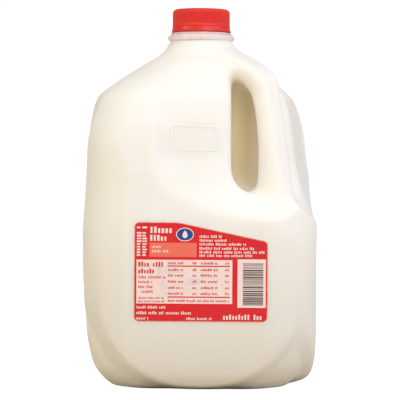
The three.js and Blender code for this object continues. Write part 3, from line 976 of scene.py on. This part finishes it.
class JugStudioSettings(bpy.types.PropertyGroup):
    """Camera and lights."""

    distance: length("Camera distance", "From the jug's axis to the camera", 1625)
    height: length("Camera height", "Height of the level camera", 121.2)
    picture: length("Picture width", "Width of the picture at the jug's axis", 264.2)
    roll: FloatProperty(
        name="Roll", description="Lean of the camera", default=math.radians(-0.42), subtype="ANGLE"
    )
    world: number("World", "Brightness of the white surroundings", 0.38)
    glow: number("Floor glow", "Extra exposure of the paper floor", 0.9)
    key: number("Right light", "Power of the soft light from the front right, in watts", 4.6)
    side: number("Side light", "Power of the soft light from the right side, in watts", 2.6)
    fill: number("Left light", "Power of the soft light from the front left, in watts", 4.6)
    top: number("Top light", "Power of the soft light from above, in watts", 1.5)


GROUPS = {
    "jug_body": JugBodySettings,
    "jug_top": JugTopSettings,
    "jug_fill": JugFillSettings,
    "jug_label": JugLabelSettings,
    "jug_colours": JugColours,
    "jug_studio": JugStudioSettings,
}


class JugOperator:
    """What the jug's operators share: their settings, ready to use."""

    bl_options = {"REGISTER", "UNDO"}

    def execute(self, context):
        groups = {key: in_millimetres(getattr(context.scene, key)) for key in GROUPS}
        self.build(context.scene, SimpleNamespace(**groups))
        return {"FINISHED"}


class MESH_OT_jug_bottle(JugOperator, bpy.types.Operator):
    """Add the bottle below its neck: body, pads, hand recess and handle as one surface"""

    bl_idname = "mesh.jug_bottle"
    bl_label = "Bottle"

    def build(self, scene, use):
        low = np.array([-HALF_WIDTH, -HALF_WIDTH, 0]) - MARGIN
        high = np.array([HALF_WIDTH, HALF_WIDTH, BODY_TOP]) + MARGIN

        def field(points):
            return bottle_field(use.jug_body, points)

        points, quads = net(field, low, high, use.jug_body.cell)
        points = np.clip(points, low + MARGIN, high - MARGIN)
        plastic = blow_moulded_hdpe("hdpe_blow_moulded", use.jug_colours, sink=0.5)
        add_piece("bottle_body", points, quads, plastic, "bottle", "bottle_wall")
        # The line is too thin for light to sink into.
        plastic = blow_moulded_hdpe("hdpe_raised_line", use.jug_colours, sink=0.0)
        add_piece("bottle_raised_frame", *raised_frame(field), plastic, "bottle", "bottle_wall")


class MESH_OT_jug_neck(JugOperator, bpy.types.Operator):
    """Add the neck, with its bumper ring and the finish under the cap"""

    bl_idname = "mesh.jug_neck"
    bl_label = "Neck"

    def build(self, scene, use):
        points, quads = turned(neck_outline(use.jug_top), NECK_STEPS)
        plastic = clear_hdpe_neck(use.jug_colours)
        add_piece("bottle_neck", points, quads, plastic, "bottle", "bottle_wall", sharp=40)


class MESH_OT_jug_milk(JugOperator, bpy.types.Operator):
    """Add the milk, which fills the bottle and its handle up to the foot of the neck"""

    bl_idname = "mesh.jug_milk"
    bl_label = "Milk"

    def build(self, scene, use):
        size, fill = use.jug_body, use.jug_fill

        def field(points):
            shell = bottle_field(size, points) + fill.inset
            return smooth_max(shell, points[:, 2] - fill.fill_height, MILK_EDGE)

        low = np.array([-HALF_WIDTH, -HALF_WIDTH, 0]) - MARGIN
        high = np.array([HALF_WIDTH, HALF_WIDTH, fill.fill_height]) + 2 * MARGIN
        points, quads = net(field, low, high, fill.cell)
        add_piece("milk_fill", points, quads, whole_milk(use.jug_colours), "milk", "milk")


class MESH_OT_jug_cap(JugOperator, bpy.types.Operator):
    """Add the push-on cap, with fine ribs and a smooth tear band"""

    bl_idname = "mesh.jug_cap"
    bl_label = "Cap"

    def build(self, scene, use):
        size = use.jug_top
        points, quads = turned(cap_outline(size), size.cap_ribs * STEPS_PER_RIB, rib_bend(size))
        plastic = moulded_cap_plastic(use.jug_colours)
        add_piece("cap_shell", points, quads[:, ::-1], plastic, "cap", "cap", sharp=50)


class MESH_OT_jug_label(JugOperator, bpy.types.Operator):
    """Add the label: the film, and each field of its print as a thin plate"""

    bl_idname = "mesh.jug_label"
    bl_label = "Label"

    def build(self, scene, use):
        size, ink = use.jug_label, use.jug_colours
        random = np.random.default_rng(PRINT_SEED)
        left, right, low, high = TITLE_BLOCKS
        middle = (left + right) / 2
        upward = strokes(low, high, left, middle - TITLE_GAP, random)
        upward += strokes(low, high, middle + TITLE_GAP, right, random)
        blocks = [[(z, x) for x, z in reversed(mark)] for mark in upward]
        white = [mark for line in WHITE_LINES for mark in strokes(*line, random)]
        red = [mark for line in RED_LINES for mark in strokes(*line, random)]
        for row in FACT_ROWS:
            for column in FACT_COLUMNS:
                red += strokes(*column, row, row + FACT_LINE, random)
        red += [box_outline(RULE_LEFT, RULE_RIGHT, z, z + THICK_RULE) for z in THICK_RULES]
        grey = [box_outline(*patch) for patch in GREY_PATCHES]
        grey += [box_outline(RULE_LEFT, RULE_RIGHT, z, z + THIN_RULE) for z in THIN_RULES]
        left, right, low, high = (edge + inset for edge, inset in zip(BAR_PANEL, BAR_INSETS))
        bars, z = [], low
        while z < high:
            thick = random.choice(BAR_WIDTHS)
            bars.append(box_outline(left, right, z, z + thick))
            z += thick + random.choice(BAR_GAPS)
        x, z, across, up = OVAL_SHAPE
        # Each layer has a height in thicknesses of ink, so that no two that overlap lie at one depth.
        layers = (
            ("film", 0, [label_edge(size, 0)], ink.rim, ink.tint),
            ("red_field", 1, [label_edge(size, size.label_rim)], ink.red, ink.red_shade),
            ("tint_field", 2, [box_outline(*TINT_PANEL)], ink.tint, ink.tint),
            ("facts_field", 2, [box_outline(*FACTS_PANEL), box_outline(*BAR_PANEL)], ink.panel, ink.white),
            ("grey_print", 3, grey, ink.grey, ink.panel),
            ("white_print", 4, [*white, *blocks, oval(x, z, across, up)], ink.white, ink.panel),
            ("red_print", 4, red, ink.ink_red, ink.red),
            ("blue_print", 5, [oval(x, z, across - OVAL_RIM, up - OVAL_RIM)], ink.blue, ink.blue),
            ("drop_print", 6, [drop_outline(x, z, DROP_SIZE)], ink.white, ink.white),
            ("bar_print", 4, bars, ink.bars, ink.bars),
        )
        back = -HALF_WIDTH
        for name, height, outlines, first, second in layers:
            front = back - size.film - height * size.ink
            points, faces = plates(outlines, front, back)
            material = printed_film("film_" + name, first, second)
            add_piece("label_" + name, points, faces, material, "label", "label", sharp=30)


class SCENE_OT_jug_studio(JugOperator, bpy.types.Operator):
    """Add the floor, the camera and soft studio lights"""

    bl_idname = "scene.jug_studio"
    bl_label = "Studio"

    def build(self, scene, use):
        studio = use.jug_studio
        camera = bpy.data.objects.new("camera", bpy.data.cameras.new("camera"))
        scene.collection.objects.link(camera)
        camera.location = (0, -studio.distance * MM, studio.height * MM)
        camera.rotation_euler = (math.pi / 2, studio.roll, 0)
        camera.data.lens = camera.data.sensor_width * studio.distance / studio.picture
        camera.data.clip_end = CAMERA_REACH
        scene.camera = camera
        scene.view_settings.view_transform = "Standard"
        world = bpy.data.worlds.new("studio")
        world.use_nodes = True
        scene.world = world
        tree = world.node_tree
        tree.nodes.clear()
        eye = node(tree, "ShaderNodeLightPath").outputs["Is Camera Ray"]
        # The camera sees the backdrop burn out, while the jug is lit by less.
        strength = node(tree, "ShaderNodeMapRange", Value=eye, To_Min=studio.world, To_Max=BACKDROP)
        light = node(tree, "ShaderNodeBackground", Color=WORLD_TINT, Strength=strength.outputs[0])
        node(tree, "ShaderNodeOutputWorld", Surface=light.outputs[0])
        floor = bpy.data.objects.new("floor", bpy.data.meshes.new("floor"))
        corners = box_outline(-FLOOR_HALF, FLOOR_HALF, -FLOOR_HALF, FLOOR_HALF)
        floor.data.from_pydata([(x, y, 0) for x, y in corners], [], [(0, 1, 2, 3)])
        floor.data.materials.append(studio_floor(use.jug_colours, studio.glow))
        scene.collection.objects.link(floor)
        powers = {"right": studio.key, "side": studio.side, "left": studio.fill, "top": studio.top}
        for name, power in powers.items():
            self.soft_light(scene, name, power, *LIGHTS[name])

    def soft_light(self, scene, name, power, tint, direction, distance, size):
        """A rectangular light that faces the jug, from an azimuth off the camera's side and an elevation."""
        azimuth, elevation = (math.radians(a) for a in direction)
        light = bpy.data.objects.new("light_" + name, bpy.data.lights.new("light_" + name, "AREA"))
        light.data.shape = "RECTANGLE"
        light.data.size, light.data.size_y = size
        light.data.energy = power
        light.data.color = tint
        out = distance * math.cos(elevation)
        height = LIGHT_AIM + distance * math.sin(elevation)
        light.location = (out * math.sin(azimuth), -out * math.cos(azimuth), height)
        light.rotation_euler = (math.pi / 2 - elevation, 0, azimuth)
        scene.collection.objects.link(light)


class VIEW3D_PT_milk_jug(bpy.types.Panel):
    """Settings of the jug and buttons that add its pieces"""

    bl_label = "Milk jug"
    bl_space_type = "VIEW_3D"
    bl_region_type = "UI"
    bl_category = "Milk jug"

    def draw(self, context):
        for operator in OPERATORS:
            self.layout.operator(operator.bl_idname)
        for key, group in GROUPS.items():
            box = self.layout.box()
            for setting in group.__annotations__:
                box.prop(getattr(context.scene, key), setting)


OPERATORS = (
    MESH_OT_jug_bottle,
    MESH_OT_jug_neck,
    MESH_OT_jug_milk,
    MESH_OT_jug_cap,
    MESH_OT_jug_label,
    SCENE_OT_jug_studio,
)


def register():
    """Registers the classes and gives every scene the settings."""
    for made in (*GROUPS.values(), *OPERATORS, VIEW3D_PT_milk_jug):
        bpy.utils.register_class(made)
    for key, group in GROUPS.items():
        setattr(bpy.types.Scene, key, bpy.props.PointerProperty(type=group))


def unregister():
    """Takes the settings off the scenes and the classes out again."""
    for key in GROUPS:
        delattr(bpy.types.Scene, key)
    for made in reversed((*GROUPS.values(), *OPERATORS, VIEW3D_PT_milk_jug)):
        bpy.utils.unregister_class(made)


def main():
    """Registers the add-on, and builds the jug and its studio."""
    register()
    bpy.ops.mesh.jug_bottle()
    bpy.ops.mesh.jug_neck()
    bpy.ops.mesh.jug_milk()
    bpy.ops.mesh.jug_cap()
    bpy.ops.mesh.jug_label()
    bpy.ops.scene.jug_studio()


if __name__ == "__main__":
    main()
